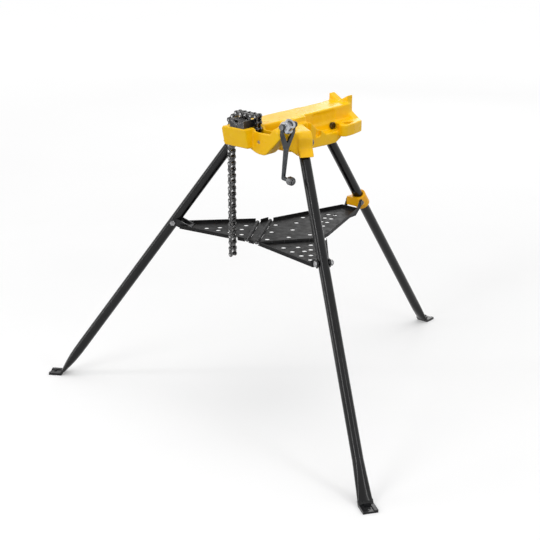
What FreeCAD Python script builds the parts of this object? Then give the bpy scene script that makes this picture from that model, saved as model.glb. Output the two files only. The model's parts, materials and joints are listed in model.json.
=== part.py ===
import FreeCAD, Part
import math
import os
import re
import Sketcher
from FreeCAD import Placement, Rotation, Vector

# Three-legged pipe stand with a chain vise on top and a folding tray between the legs.
# Millimetres. +Z is up, +Y runs along the pipe from the jaws to the rear rest, +X is the crank side.
# The origin is on the floor at the middle of the footprint.
#
# Bodies are drawn in four kinds of local frame:
#   stand frame  origin on the floor below the point where the three leg axes meet, axes parallel to the part's
#   leg frame    origin at a leg's pivot, X pointing outwards over its foot, Z up
#   chain frame  the stand frame moved along Y into the plane in which the chain runs
#   screw frame  origin where the crank hangs on its nut, Z along the draw screw and pointing outwards

doc = FreeCAD.newDocument("pipe_vise_stand")
Y_AXIS = Vector(0, 1, 0)
Z_AXIS = Vector(0, 0, 1)

SIZES = [
    # legs
    ("apex_height", 878, "height at which the three leg axes would meet"),
    ("leg_tilt", 36, "angle between a leg and the vertical"),
    ("front_angle", 57, "plan angle of a front leg from the -Y direction"),
    ("tube_od", 26.7, "leg tube"),
    ("tube_wall", 2.9, "leg tube wall"),
    ("tube_top", 18, "tube above its pivot"),
    ("flat_width", 36, "width of the flattened foot"),
    ("flat_thick", 7, "thickness of the flattened foot"),
    ("flat_groove", 2.2, "depth of the groove along the flattened foot"),
    ("flat_length", 12, "flat part of the leg above its bend"),
    ("neck_length", 96, "part of the leg that runs from round to flat"),
    ("foot_out", 31, "length of the foot beyond the leg axis"),
    ("foot_hole", 9, "floor bolt hole in the foot"),
    ("pivot_height", 712, "height of the leg pivots"),
    ("rear_shift", 10, "how much farther out the rear leg stands"),
    ("pivot_bolt", 10, "leg pivot bolt"),
    ("bolt_play", 0.05, "play between a bolt and its hole, each side"),
    # casting core
    ("tier_width", 124, "lower tier of the casting"),
    ("tier_front", -60, "front of the lower tier"),
    ("tier_rear", 140, "rear of the lower tier"),
    ("tier_bottom", 673, "underside of the lower tier"),
    ("tier_top", 742, "top of the lower tier at its front"),
    ("tier_low", 702, "top of the lower tier at its rear"),
    ("beam_width", 70, "upper beam of the casting"),
    ("shoulder_width", 86, "beam between the front sockets"),
    ("beam_bottom", 700, "underside of the upper beam"),
    ("beam_top", 758, "top of the upper beam"),
    ("cast_wall", 8, "wall of the casting"),
    # front block
    ("block_left", 48.5, "block edge on the side of the hanging chain"),
    ("slot_left", 63, "end of the walls on either side of the hanging chain"),
    ("block_right", 31, "block edge on the crank side"),
    ("block_front", 195, "front of the block at its top"),
    ("block_lean", 12, "how far the front leans back at the bottom"),
    ("block_bottom", 706, "underside of the block"),
    ("seat_height", 755, "flat on which the jaw inserts sit"),
    # jaws
    ("pipe_height", 803, "axis of the pipe that the jaws are drawn for"),
    ("pipe_od", 73, "that pipe's diameter"),
    ("jaw_slope", 30, "slope of a jaw face"),
    ("jaw_half", 22.5, "half width over the jaws"),
    ("jaw_gap", 3, "gap between the two inserts"),
    ("jaw_length", 60, "length of an insert along the pipe"),
    ("jaw_ahead", 12.5, "middle of the inserts, ahead of the chain"),
    ("jaw_tooth", 3.6, "pitch of the jaw teeth"),
    ("jaw_screw", 6, "screws that hold the inserts"),
    # chain
    ("chain_y", -147.5, "plane of the chain, from the stand axis"),
    ("chain_pitch", 15.875, "five eighths of an inch"),
    ("plate_height", 13, "height of a link plate at its ends"),
    ("plate_waist", 9.5, "height of a link plate between its pins"),
    ("plate_thick", 2, "thickness of a link plate"),
    ("plate_gap", 0.2, "gap between neighbouring plates"),
    ("chain_inner", 9.2, "width between the inner plates"),
    ("chain_pin", 5.4, "chain pin"),
    ("pin_length", 22, "length of a chain pin"),
    ("roller_od", 9, "chain roller"),
    ("riser_x", 30, "where the chain rises beside the jaws"),
    ("drape_angle", 40, "slope of the chain between the jaws and its hook"),
    ("jaw_clear", 0.6, "height of the plates above the jaw tips"),
    # chain trough, screw boss and screw
    ("trough_wall", 5.5, "walls of the trough"),
    ("floor_thick", 4.5, "floor of the trough"),
    ("trough_width", 26, "inner width of the trough"),
    ("guide_x", 48, "pin around which the chain turns"),
    ("guide_z", 723, "height of that pin"),
    ("guide_pin", 9, "its diameter"),
    ("turn_radius", 13.6, "lowest chain pin from the guide pin"),
    ("screw_x", 127, "point of the screw axis where the crank hangs"),
    ("screw_z", 772, "height of that point"),
    ("screw_angle", 45, "angle between the screw and the vertical"),
    ("screw_od", 16, "draw screw"),
    ("boss_od", 30, "boss around the screw"),
    ("boss_face", 13, "from the crank pins back to the boss face"),
    ("boss_length", 25, "length of the boss bore"),
    ("boss_nose", 14, "boss beyond the trough walls"),
    ("washer_thick", 3, "thrust washer"),
    ("nut_od", 27, "crank nut"),
    ("flange_od", 34, "flange of the crank nut"),
    ("nut_out", 10, "nut beyond the crank pins"),
    ("eye_back", 80, "from the crank pins back to the screw eye, screw let out"),
    ("eye_play", 0.6, "play of the last chain pin in the screw eye"),
    ("crank_pin", 10, "pins of the crank"),
    # crank
    ("crank_lean", 6.5, "lean of the hanging crank"),
    ("crank_length", 131, "from the crank pins to the bend of the handle"),
    ("fork_inside", 35, "inside width of the crank fork"),
    ("fork_thick", 6.5, "thickness of a fork arm"),
    ("fork_length", 53, "from the crank pins to the joined arms"),
    ("eye_od", 16, "eye of a fork arm"),
    ("shaft_top", 13.5, "handle shaft below the fork"),
    ("shaft_low", 10, "handle shaft at its bend"),
    ("crank_foot", 16, "stub on which the grip turns, from the shaft axis"),
    ("grip_od", 21, "turning grip"),
    ("grip_length", 15, "turning grip"),
    ("stud_od", 8, "stud inside the grip"),
    # rear rest and bender lugs
    ("rest_front", 200, "front of the rear pipe rest"),
    ("rest_half", 31, "half width of the rear pipe rest"),
    ("rest_thick", 22, "thickness of the rear pipe rest"),
    ("rest_top", 782, "top of the rear pipe rest"),
    ("lug_bottom", 690, "underside of the bender lugs"),
    ("lug_top", 720, "top of the bender lugs"),
    ("lug_nose", 13, "radius of the bending nose"),
    ("lug_x", 73, "centre of the bending nose"),
    ("lug_y", 134, "centre of the bending nose"),
    # sockets
    ("cheek", 5, "cheek of a leg socket"),
    ("cheek_gap", 0.6, "play beside the tube in its socket"),
    ("seat_gap", 0.3, "gap between the opened leg and its stop"),
    # tray
    ("tray_height", 450, "top of the tray sheet"),
    ("tray_sheet", 1.5, "tray sheet"),
    ("tray_rim", 8, "rim around the tray"),
    ("rim_back", 13, "rims from the right hinge axis"),
    ("rim_near", 7, "rims from the two left hinge axes"),
    ("hinge_front_x", 12, "front end of the right hinge"),
    ("hinge_front_y", -137, "front end of the right hinge"),
    ("hinge_rear_x", 118, "rear end of the right hinge"),
    ("hinge_rear_y", 7, "rear end of the right hinge"),
    ("fold_front_x", -19, "front end of the left hinge"),
    ("fold_rear_x", -110, "rear end of the left hinge"),
    ("strip_rear_x", -94, "rear end of the hinge between strip and main panel"),
    ("strip_rear_y", 40, "rear end of the hinge between strip and main panel"),
    ("tip_reach", 283, "end of a wing, from the stand axis"),
    ("tip_half", 21, "half width of a wing's end"),
    ("main_side_x", 104, "corner of the main panel"),
    ("main_side_y", 40, "corner of the main panel"),
    ("neck_half", 27, "half width of the main panel's rear end"),
    ("neck_y", 262, "rear end of the main panel"),
    ("barrel_od", 10, "hinge knuckles"),
    ("barrel_lift", 1.5, "hinge axis above the tray"),
    ("hinge_pin", 6, "hinge pins"),
    ("hinge_gap", 0.4, "gap between a knuckle and the sheet or knuckle beside it"),
    ("tray_hole", 12.5, "holes in the tray"),
    ("fork_sheet", 3, "sheet of the tray forks"),
    ("fork_play", 1, "gap between a tray fork and what it straddles"),
    ("wing_bolt", 8, "bolts through the front legs"),
    ("wing_rise", 13, "those bolts above the tray sheet"),
    ("wing_stud", 6, "studs that hold the ends of the wings"),
    ("notch_width", 21, "notch in the tray's front for the hanging chain"),
    ("notch_back", -126, "rear of that notch"),
    ("stud_back", 13, "those studs from the end of a wing"),
    ("stud_play", 1.2, "play around those studs"),
    ("collar_od", 41, "collar on the rear leg"),
    ("collar_length", 38, "collar along the leg"),
    ("collar_half", 20.3, "half width of the collar's lug"),
    ("collar_play", 0.1, "play between the collar and the tube"),
    ("tray_pivot_y", 283, "axis of the tray's rear pivot"),
    ("tray_pivot_z", 468, "height of the tray's rear pivot"),
    ("tray_pivot_pin", 8, "pin of the tray's rear pivot"),
]

DERIVED = [
    ("toe_reach", "apex_height * tan(leg_tilt) + foot_out"),
    ("toe_front", "toe_reach * cos(front_angle) + flat_width / 2 * sin(front_angle)"),
    ("centre_y", "(toe_front - toe_reach - rear_shift) / 2"),
    ("pivot_reach", "(apex_height - pivot_height) * tan(leg_tilt)"),
    ("rear_reach", "pivot_reach + rear_shift"),
    ("leg_below", "pivot_height / cos(leg_tilt)"),
    ("tube_below", "leg_below - flat_length - neck_length"),
    ("vee_bottom", "pipe_height - pipe_od / 2 / cos(jaw_slope)"),
    ("jaw_top", "vee_bottom + jaw_half * tan(jaw_slope)"),
    ("corner_z", "jaw_top + jaw_clear + plate_height / 2"),
    ("tail_x", "riser_x - (4 + 2 * cos(drape_angle)) * chain_pitch"),
    ("horn_z", "corner_z - (1 + 2 * sin(drape_angle)) * chain_pitch - chain_pin / 2 - jaw_clear"),
    ("slot_half", "pin_length / 2 + 0.8"),
    ("horn_half", "chain_inner / 2 + 2 * plate_thick + plate_gap + 0.8"),
    ("hub_y", "fork_inside / 2"),
    ("inner_y", "chain_inner / 2 + plate_thick / 2"),
    ("outer_y", "inner_y + plate_thick + plate_gap"),
    ("wing_bolt_z", "tray_height + wing_rise"),
    ("wing_bolt_drop", "(pivot_height - wing_bolt_z) / cos(leg_tilt)"),
    ("hinge_angle", "atan((hinge_rear_y - hinge_front_y) / (hinge_rear_x - hinge_front_x)) / 1 deg"),
    ("fold_angle", "180 + atan((hinge_rear_y - hinge_front_y) / (fold_rear_x - fold_front_x)) / 1 deg"),
    ("strip_angle", "180 + atan((strip_rear_y - hinge_front_y) / (strip_rear_x - hinge_front_x)) / 1 deg"),
    ("hinge_length", "(hinge_rear_y - hinge_front_y) / sin(hinge_angle)"),
    ("fold_length", "(hinge_rear_y - hinge_front_y) / sin(fold_angle)"),
    ("strip_length", "(strip_rear_y - hinge_front_y) / sin(strip_angle)"),
    ("sheet_gap", "barrel_od / 2 + hinge_gap"),
    ("tip_x", "tip_reach * sin(front_angle)"),
    ("tip_y", "-tip_reach * cos(front_angle)"),
    ("tip_dx", "tip_half * cos(front_angle)"),
    ("tip_dy", "tip_half * sin(front_angle)"),
    ("collar_reach", "(apex_height - tray_pivot_z) * tan(leg_tilt) + rear_shift"),
    ("prong_x", "collar_half + fork_play / 2"),
    ("bowl_x", "guide_x + 15"),
    ("bowl_z", "screw_z - screw_x + bowl_x"),
    ("socket_low_x", "28 * tan(leg_tilt) + (tube_od / 2 + seat_gap) / cos(leg_tilt)"),
]

sheet = doc.addObject("Spreadsheet::Sheet", "Sizes")
for row, (alias, number, note) in enumerate(SIZES, start=1):
    sheet.set(f"A{row}", note)
    sheet.set(f"B{row}", str(number))
    sheet.setAlias(f"B{row}", alias)
doc.recompute()

derived = doc.addObject("Spreadsheet::Sheet", "Derived")
DRIVING_NAMES = {alias for alias, number, note in SIZES}
DERIVED_NAMES = {alias for alias, formula in DERIVED}


def linked(formula):
    """A formula in plain size names, with each name pointed at its sheet."""
    def point(match):
        word = match.group(0)
        if word in DRIVING_NAMES:
            return "Sizes." + word
        if word in DERIVED_NAMES:
            return "Derived." + word
        return word
    return re.sub(r"[A-Za-z_]\w*", point, str(formula))


for row, (alias, formula) in enumerate(DERIVED, start=1):
    derived.set(f"A{row}", alias)
    derived.setAlias(f"B{row}", alias)
    derived.set(f"B{row}", "=" + linked(formula).replace("Derived.", ""))
doc.recompute()


def size(alias):
    """The value of a driving or derived size."""
    owner = sheet if alias in DRIVING_NAMES else derived
    return float(owner.get(alias))


def bind(obj, path, formula):
    obj.setExpression(path, linked(formula))


def place(obj, x=0, y=0, z=0, turn_axis=None, turn=0):
    """Binds an object's place, and its turn about one fixed axis."""
    if turn_axis is not None:
        obj.Placement = Placement(Vector(), Rotation(Vector(*turn_axis), 10))
        bind(obj, "Placement.Rotation.Angle", turn)
    for axis_name, formula in zip("xyz", (x, y, z)):
        bind(obj, "Placement.Base." + axis_name, formula)


# ---------------------------------------------------------------- drawing helpers

def new_body(label):
    body = doc.addObject("PartDesign::Body", label)
    body.Label = label
    return body


def stand_body(label):
    body = new_body(label)
    place(body, y="centre_y")
    return body


def chain_body(label):
    body = new_body(label)
    place(body, y="centre_y + chain_y")
    return body


def screw_frame(obj, back="0"):
    """Puts an object into the screw frame, moved back along the screw."""
    place(obj, f"screw_x - ({back}) * sin(screw_angle)", "centre_y + chain_y",
          f"screw_z - ({back}) * cos(screw_angle)", (0, 1, 0), "screw_angle")


LEG_TURNS = {"right": "front_angle - 90", "left": "270 - front_angle", "rear": "90"}


def leg_frame(obj, side):
    """Puts an object into the frame of one leg."""
    turn = LEG_TURNS[side]
    reach = "rear_reach" if side == "rear" else "pivot_reach"
    place(obj, f"{reach} * cos({turn})", f"centre_y + {reach} * sin({turn})",
          "pivot_height", (0, 0, 1), turn)


def leg_body(label, side):
    body = new_body(label)
    leg_frame(body, side)
    return body


def origin_plane(body, role):
    for feature in body.Origin.OriginFeatures:
        if feature.Role == role:
            return feature
    raise ValueError(role)


def new_sketch(body, role, offset=0):
    """A sketch on an origin plane, moved along the plane's normal."""
    drawing = body.newObject("Sketcher::SketchObject", "Sketch")
    drawing.AttachmentSupport = (origin_plane(body, role), [""])
    drawing.MapMode = "FlatFace"
    bind(drawing, "AttachmentOffset.Base.z", offset)
    return drawing


def outline(drawing, points):
    """A closed outline of straight sides whose corners are bound to the sizes."""
    count = len(points)
    turn = 2 * math.pi / count
    start = [Vector(50 * math.cos(i * turn), 50 * math.sin(i * turn), 0) for i in range(count)]
    for i in range(count):
        drawing.addGeometry(Part.LineSegment(start[i], start[(i + 1) % count]), False)
    for i in range(count):
        drawing.addConstraint(Sketcher.Constraint("Coincident", i, 2, (i + 1) % count, 1))
    for i, (across, up) in enumerate(points):
        for kind, formula in (("DistanceX", across), ("DistanceY", up)):
            number = drawing.addConstraint(Sketcher.Constraint(kind, -1, 1, i, 1, 1.0 + i))
            bind(drawing, f"Constraints[{number}]", formula)


def pad(body, drawing, length, midplane=False, reversed_way=False):
    feature = body.newObject("PartDesign::Pad", "Pad")
    feature.Profile = drawing
    bind(feature, "Length", length)
    feature.Midplane = midplane
    feature.Reversed = reversed_way
    drawing.Visibility = False
    return feature


def pocket(body, drawing, length, midplane=False, reversed_way=False):
    feature = body.newObject("PartDesign::Pocket", "Pocket")
    feature.Profile = drawing
    bind(feature, "Length", length)
    feature.Midplane = midplane
    feature.Reversed = reversed_way
    return feature


def add_box(body, corner, lengths, cut=False):
    """A block from its lowest corner and its three lengths."""
    kind = "PartDesign::SubtractiveBox" if cut else "PartDesign::AdditiveBox"
    feature = body.newObject(kind, "Box")
    for name, formula in zip(("Length", "Width", "Height"), lengths):
        bind(feature, name, formula)
    place(feature, *corner)
    return feature


def add_rod(body, start, radius, length, turn_axis=None, turn=0, cut=False):
    """A round bar from the middle of one end; without a turn it points up."""
    kind = "PartDesign::SubtractiveCylinder" if cut else "PartDesign::AdditiveCylinder"
    feature = body.newObject(kind, "Rod")
    bind(feature, "Radius", radius)
    bind(feature, "Height", length)
    place(feature, *start, turn_axis, turn)
    return feature


def add_cross_rod(body, x, y_from, z, radius, length, cut=False):
    """A round bar along +Y from y_from."""
    return add_rod(body, (x, y_from, z), radius, length, (1, 0, 0), "-90", cut)


def group(label, parts):
    """Separate solids that share one node."""
    compound = doc.addObject("Part::Compound", label)
    compound.Label = label
    compound.Links = parts
    return compound


def written(label, shape):
    """A sub-part whose solids are laid out by a loop, in the chain frame."""
    feature = doc.addObject("Part::Feature", label)
    feature.Label = label
    feature.Shape = shape
    place(feature, y="centre_y + chain_y")
    return feature


# ---------------------------------------------------------------- casting

def casting_core():
    """The long hollow middle: lower tier, upper beam, rear rest and front block."""
    core = stand_body("casting_core")
    tier = new_sketch(core, "YZ_Plane", "-tier_width / 2")
    outline(tier, [("tier_front", "tier_bottom + 6"), ("tier_front", "tier_top"), ("15", "tier_top"),
                   ("34", "tier_top - 14"), ("58", "tier_low + 14"), ("78", "tier_low"),
                   ("tier_rear", "tier_low"), ("tier_rear", "tier_bottom + 11"),
                   ("tier_rear - 22", "tier_bottom"), ("70", "tier_bottom")])
    pad(core, tier, "tier_width")
    add_box(core, ("-shoulder_width / 2", "tier_front - 12", "beam_bottom"),
            ("shoulder_width", "19 - tier_front + 12", "beam_top - beam_bottom - 2"))
    start = "(chain_y - jaw_ahead + jaw_length / 2 + 1)"
    add_box(core, ("-beam_width / 2", start, "beam_bottom"),
            ("beam_width", f"rest_front + 10 - {start}", "beam_top - beam_bottom"))
    rest = new_sketch(core, "XZ_Plane", "-rest_front")
    outline(rest, [("-rest_half", "rest_top"), ("rest_half", "rest_top"), ("rest_half", "lug_top + 16"),
                   ("rest_half + 23", "lug_top"), ("rest_half + 23", "lug_bottom"),
                   ("-rest_half - 23", "lug_bottom"), ("-rest_half - 23", "lug_top"),
                   ("-rest_half", "lug_top + 16")])
    pad(core, rest, "rest_thick", reversed_way=True)
    front_block(core)
    for side in (-1, 1):
        bender_lug(core, side)
    for side in (-1, 1):
        side_pockets(core, side)
    hollow(core)
    return core


def front_block(core):
    """The block under the jaws, with a wall on either side of the hanging chain."""
    nose = new_sketch(core, "XZ_Plane", "block_front")
    outline(nose, [("-block_left", "seat_height - 6"), ("-block_left + 6", "seat_height"),
                   ("block_right", "seat_height"), ("block_right", "block_bottom"),
                   ("-block_left + 1", "block_bottom")])
    pad(core, nose, "block_front + tier_front - 50", reversed_way=True)
    walls = new_sketch(core, "XZ_Plane", "-chain_y + slot_half + 11")
    outline(walls, [("-slot_left", "horn_z - 12"), ("-slot_left", "horn_z + 2"),
                    ("-block_left + 6", "seat_height"), ("0", "seat_height"), ("0", "block_bottom"),
                    ("-block_left - 3", "block_bottom")])
    pad(core, walls, "2 * (slot_half + 11)", reversed_way=True)


def bender_lug(core, side):
    """A lug beside the rear rest, with a round nose and a slot to put a pipe through."""
    lug = new_sketch(core, "XY_Plane", "lug_bottom")
    far = "rest_front + rest_thick"
    outline(lug, [(f"{side} * (beam_width / 2 - 4)", "lug_y + 12"), (f"{side} * (lug_x - 14)", "lug_y - 2"),
                  (f"{side} * lug_x", "lug_y - lug_nose + 1"), (f"{side} * (lug_x + lug_nose)", "lug_y"),
                  (f"{side} * (lug_x + lug_nose - 1)", "lug_y + 29"), (f"{side} * (lug_x + 4)", f"{far} - 18"),
                  (f"{side} * (rest_half + 22)", far), (f"{side} * (beam_width / 2 - 4)", far)])
    pad(core, lug, "lug_top - lug_bottom")
    add_rod(core, (f"{side} * lug_x", "lug_y", "lug_bottom"), "lug_nose", "lug_top - lug_bottom")
    slot = new_sketch(core, "XY_Plane", "lug_bottom - 1")
    outline(slot, [(f"{side} * (lug_x - 22)", "lug_y + 20"), (f"{side} * (lug_x - 3)", "lug_y + 9"),
                   (f"{side} * (lug_x + 2)", "lug_y + 16"), (f"{side} * (lug_x - 4)", "lug_y + 44"),
                   (f"{side} * (lug_x - 18)", "lug_y + 40")])
    pocket(core, slot, "lug_top - lug_bottom + 30", reversed_way=True)


def side_pockets(core, side):
    """Cast pockets in the sides that save weight."""
    outer = "tier_width / 2 + 1"
    for start, width, low, high, depth in (("-16", "31", "696", "tier_top + 1", "12"),
                                           ("35", "20", "702", "tier_top", "11")):
        low_x = f"{outer} - {depth}" if side > 0 else f"-({outer})"
        add_box(core, (low_x, start, low), (depth, width, f"{high} - {low}"), cut=True)
    beam = "beam_width / 2 + 1"
    low_x = f"{beam} - 5" if side > 0 else f"-({beam})"
    add_box(core, (low_x, "54", "tier_low + 20"), ("5", "90", "30"), cut=True)


def hollow(core):
    """The casting is open below."""
    add_box(core, ("-tier_width / 2 + 2.5 * cast_wall", "tier_front + cast_wall", "tier_bottom - 10"),
            ("tier_width - 5 * cast_wall", "tier_rear - tier_front - 2 * cast_wall",
             "tier_low - tier_bottom + 10 - cast_wall"), cut=True)
    add_box(core, ("-beam_width / 2 + cast_wall", "tier_front + cast_wall", "tier_bottom - 10"),
            ("beam_width - 2 * cast_wall", "rest_front - tier_front - 2 * cast_wall",
             "beam_top - tier_bottom + 10 - cast_wall"), cut=True)


def trough_outline(drawing):
    """Side view of the trough walls: low in the middle, rising to the screw boss."""
    reach = "(boss_face + boss_nose) * sin(screw_angle)"
    half = "boss_od / 2 * sin(screw_angle)"
    outline(drawing, [("block_right - 12", "seat_height"), ("block_right", "seat_height"),
                      ("block_right + 9", "seat_height - 8"), ("block_right + 54", "seat_height - 7"),
                      (f"screw_x - {reach} - {half} - 6", f"screw_z - {reach} + {half} - 6"),
                      (f"screw_x - {reach} - {half}", f"screw_z - {reach} + {half}"),
                      (f"screw_x - {reach} + {half}", f"screw_z - {reach} - {half}"),
                      (f"bowl_x + {half}", f"bowl_z - {half}"), ("bowl_x", "bowl_z - boss_od / 2"),
                      ("bowl_x - 15", "bowl_z - boss_od / 2 + 0.5"),
                      ("block_right + 6", "bowl_z - boss_od / 2 + 3"),
                      ("block_right - 12", "block_bottom - 2")])


def trough():
    """The curved trough that leads the chain round to the draw screw, with the screw boss."""
    shell = chain_body("casting_trough")
    walls = new_sketch(shell, "XZ_Plane", "-trough_width / 2 - trough_wall")
    trough_outline(walls)
    pad(shell, walls, "trough_width + 2 * trough_wall")
    add_rod(shell, ("bowl_x", "-trough_width / 2 - trough_wall", "bowl_z"), "boss_od / 2",
            "trough_width + 2 * trough_wall", (1, 0, 0), "-90")
    add_rod(shell, ("screw_x - (boss_face + boss_length + 12) * sin(screw_angle)", "0",
                    "screw_z - (boss_face + boss_length + 12) * cos(screw_angle)"),
            "boss_od / 2", "boss_length + 12", (0, 1, 0), "screw_angle")
    return shell


def trough_channel():
    """The room for the chain inside the trough and inside the block beside the jaws."""
    room = chain_body("casting_channel")
    floor = "(boss_od / 2 - floor_thick)"
    inside = f"{floor} * sin(screw_angle)"
    back = "(boss_face + boss_length) * sin(screw_angle)"
    drawing = new_sketch(room, "XZ_Plane", "-trough_width / 2")
    outline(drawing, [("riser_x - plate_height / 2 - 0.7", "rest_top"),
                      ("riser_x - plate_height / 2 - 0.7", "block_bottom + 4"),
                      ("guide_x - 8", "block_bottom - 6"), ("bowl_x - 13", f"bowl_z - {floor}"),
                      ("bowl_x", f"bowl_z - {floor}"), (f"bowl_x + {inside}", f"bowl_z - {inside}"),
                      (f"screw_x - {back} + {inside}", f"screw_z - {back} - {inside}"),
                      (f"screw_x - {back} - 26", f"screw_z - {back} + 26"), ("bowl_x + 8", "rest_top")])
    pad(room, drawing, "trough_width")
    return room


def chain_slot():
    """The slot on the other side of the jaws through which the chain hangs."""
    slot = chain_body("casting_slot")
    add_box(slot, ("-slot_left - 5", "-slot_half", "block_bottom - 10"),
            ("slot_left + 5 + tail_x + plate_height / 2 + 0.6", "2 * slot_half", "horn_z - block_bottom + 40"))
    return slot


def horns():
    """The two hooks under the ends of a chain pin, on either side of the slot."""
    pair = []
    for name, start in (("front", "-slot_half - 3"), ("rear", "horn_half")):
        horn = chain_body("casting_horn_" + name)
        drawing = new_sketch(horn, "XZ_Plane", f"-({start})")
        outline(drawing, [("tail_x - 2.6", "horn_z"), ("tail_x + plate_height / 2 + 2", "horn_z"),
                          ("tail_x + plate_height / 2 + 2", "horn_z - 7.4"), ("tail_x + 1", "horn_z - 7.4")])
        pad(horn, drawing, "slot_half + 3 - horn_half", reversed_way=True)
        pair.append(horn)
    return pair


def screw_bore():
    bore = new_body("casting_bore")
    screw_frame(bore, "boss_face + boss_length + 6")
    add_rod(bore, (0, 0, 0), "screw_od / 2 + bolt_play", "boss_length + 12")
    return bore


def guide_bore():
    bore = chain_body("casting_guide_bore")
    add_cross_rod(bore, "guide_x", "-trough_width / 2 - trough_wall - 1", "guide_z",
                  "guide_pin / 2", "trough_width + 2 * trough_wall + 2")
    return bore


def front_lean():
    """What the leaning front face leaves out."""
    wedge = stand_body("casting_lean")
    drawing = new_sketch(wedge, "YZ_Plane", "-slot_left - 5")
    outline(drawing, [("-block_front - 3", "block_bottom - 6"),
                      ("-block_front + block_lean", "block_bottom - 6"),
                      ("-block_front", "seat_height + 3"), ("-block_front - 3", "seat_height + 3")])
    pad(wedge, drawing, "slot_left + block_right + 10")
    return wedge


def rest_vee():
    """The vee of the rear rest, in line with the jaws."""
    vee = stand_body("casting_vee")
    drawing = new_sketch(vee, "XZ_Plane", "-rest_front + 3")
    outline(drawing, [("0", "vee_bottom"), ("60", "vee_bottom + 60 * tan(jaw_slope)"), ("60", "rest_top + 60"),
                      ("-60", "rest_top + 60"), ("-60", "vee_bottom + 60 * tan(jaw_slope)")])
    pad(vee, drawing, "rest_thick + 10", reversed_way=True)
    return vee


def leg_socket(side):
    """The hood over a leg's top, closed outwards where the opened leg rests."""
    hood = leg_body("socket_" + side, side)
    top = "beam_top - pivot_height - 3" if side == "rear" else "33"
    drawing = new_sketch(hood, "XZ_Plane")
    outline(drawing, [("-62", top), ("18", top), ("31", "18"), ("31", "-6"),
                      ("socket_low_x + 6.5 / cos(leg_tilt)", "-27"), ("-30", "-27"), ("-62", "-8")])
    pad(hood, drawing, "tube_od + 2 * (cheek_gap + cheek)", midplane=True)
    return hood


def socket_web():
    """The web between the right socket and the trough, arched below."""
    web = leg_body("socket_web", "right")
    drawing = new_sketch(web, "YZ_Plane", "11")
    outline(drawing, [("-64", "-1"), ("-38", "-12"), ("-16", "-27"), ("-12", "32"), ("-64", "36")])
    pad(web, drawing, "14")
    return web


def socket_room(side):
    """The room in which a leg's top swings."""
    room = leg_body("socket_room_" + side, side)
    drawing = new_sketch(room, "XZ_Plane")
    line = "(tube_od / 2 + seat_gap) / cos(leg_tilt)"
    outline(drawing, [("-26", "23.5"), ("9", "23.5"), ("23.5", "9"),
                      ("23.5", f"-(23.5 - {line}) / tan(leg_tilt)"),
                      (f"{line} + 52 * tan(leg_tilt)", "-52"), ("-26", "-52")])
    pad(room, drawing, "tube_od + 2 * cheek_gap", midplane=True)
    return room


def pivot_bore(side):
    bore = leg_body("socket_bore_" + side, side)
    add_cross_rod(bore, 0, "-40", 0, "pivot_bolt / 2 + bolt_play", "80")
    return bore


def jaw_screw_places():
    """Where the insert screws go, in the chain frame."""
    return [(f"{side} * jaw_half * 0.56", f"{along} * jaw_length * 0.31 - jaw_ahead")
            for side in (-1, 1) for along in (-1, 1)]


def jaw_screw_bores():
    bores = []
    for number, (x, y) in enumerate(jaw_screw_places()):
        bore = chain_body(f"casting_screw_bore_{number}")
        add_rod(bore, (x, y, "seat_height - 16"), "jaw_screw / 2 + bolt_play", "20")
        bores.append(bore)
    return bores


def base_casting():
    solid = [casting_core(), trough(), socket_web()] + [leg_socket(side) for side in LEG_TURNS]
    rooms = [trough_channel(), chain_slot(), screw_bore(), guide_bore(), front_lean(), rest_vee()]
    rooms += [socket_room(side) for side in LEG_TURNS]
    rooms += [pivot_bore(side) for side in LEG_TURNS]
    rooms += jaw_screw_bores()
    whole = doc.addObject("Part::MultiFuse", "casting_solid")
    whole.Shapes = solid
    tools = doc.addObject("Part::MultiFuse", "casting_rooms")
    tools.Shapes = rooms
    cut = doc.addObject("Part::Cut", "casting_open")
    cut.Base = whole
    cut.Tool = tools
    casting = doc.addObject("Part::MultiFuse", "base_casting")
    casting.Shapes = [cut] + horns()
    casting.Label = "base_casting"
    return casting


# ---------------------------------------------------------------- jaws

def jaw_insert(label, side):
    """A wedge on the flat seat, with teeth across its sloping face."""
    insert = chain_body(label)
    drawing = new_sketch(insert, "XZ_Plane", "jaw_ahead - jaw_length / 2")
    near = "jaw_gap / 2"
    outline(drawing, [(f"{side} * {near}", "seat_height"),
                      (f"{side} * {near}", f"vee_bottom + {near} * tan(jaw_slope)"),
                      (f"{side} * jaw_half", "jaw_top"), (f"{side} * jaw_half", "seat_height")])
    pad(insert, drawing, "jaw_length")
    teeth = int(size("jaw_length") / size("jaw_tooth")) - 1
    groove = insert.newObject("PartDesign::SubtractiveBox", "Groove")
    bind(groove, "Length", "jaw_half * 2")
    bind(groove, "Width", "jaw_tooth * 0.42")
    bind(groove, "Height", "jaw_tooth * 0.42")
    groove.Placement = Placement(Vector(), Rotation(Y_AXIS, -10 * side))
    bind(groove, "Placement.Rotation.Angle", "jaw_slope")
    lead = "-jaw_half * 0.3" if side > 0 else "-jaw_half * 2 + jaw_half * 0.3"
    bind(groove, "Placement.Base.x", f"({lead}) * cos(jaw_slope)")
    bind(groove, "Placement.Base.y", "-jaw_length / 2 - jaw_ahead + jaw_tooth * 0.8")
    bind(groove, "Placement.Base.z",
         f"vee_bottom - jaw_tooth * 0.3 + {side} * ({lead}) * sin(jaw_slope)")
    pattern = insert.newObject("PartDesign::LinearPattern", "Teeth")
    pattern.Originals = [groove]
    pattern.Direction = (origin_plane(insert, "Y_Axis"), [""])
    bind(pattern, "Length", f"jaw_tooth * {teeth - 1}")
    pattern.Occurrences = teeth
    insert.Tip = pattern
    for x, y in jaw_screw_places():
        if x.startswith(f"{side} "):
            add_rod(insert, (x, y, "seat_height - 1"), "jaw_screw / 2 + bolt_play", "40", cut=True)
            add_rod(insert, (x, y, "seat_height + 4.5"), "jaw_screw * 0.85 + 0.2", "40", cut=True)
    return insert


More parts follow.
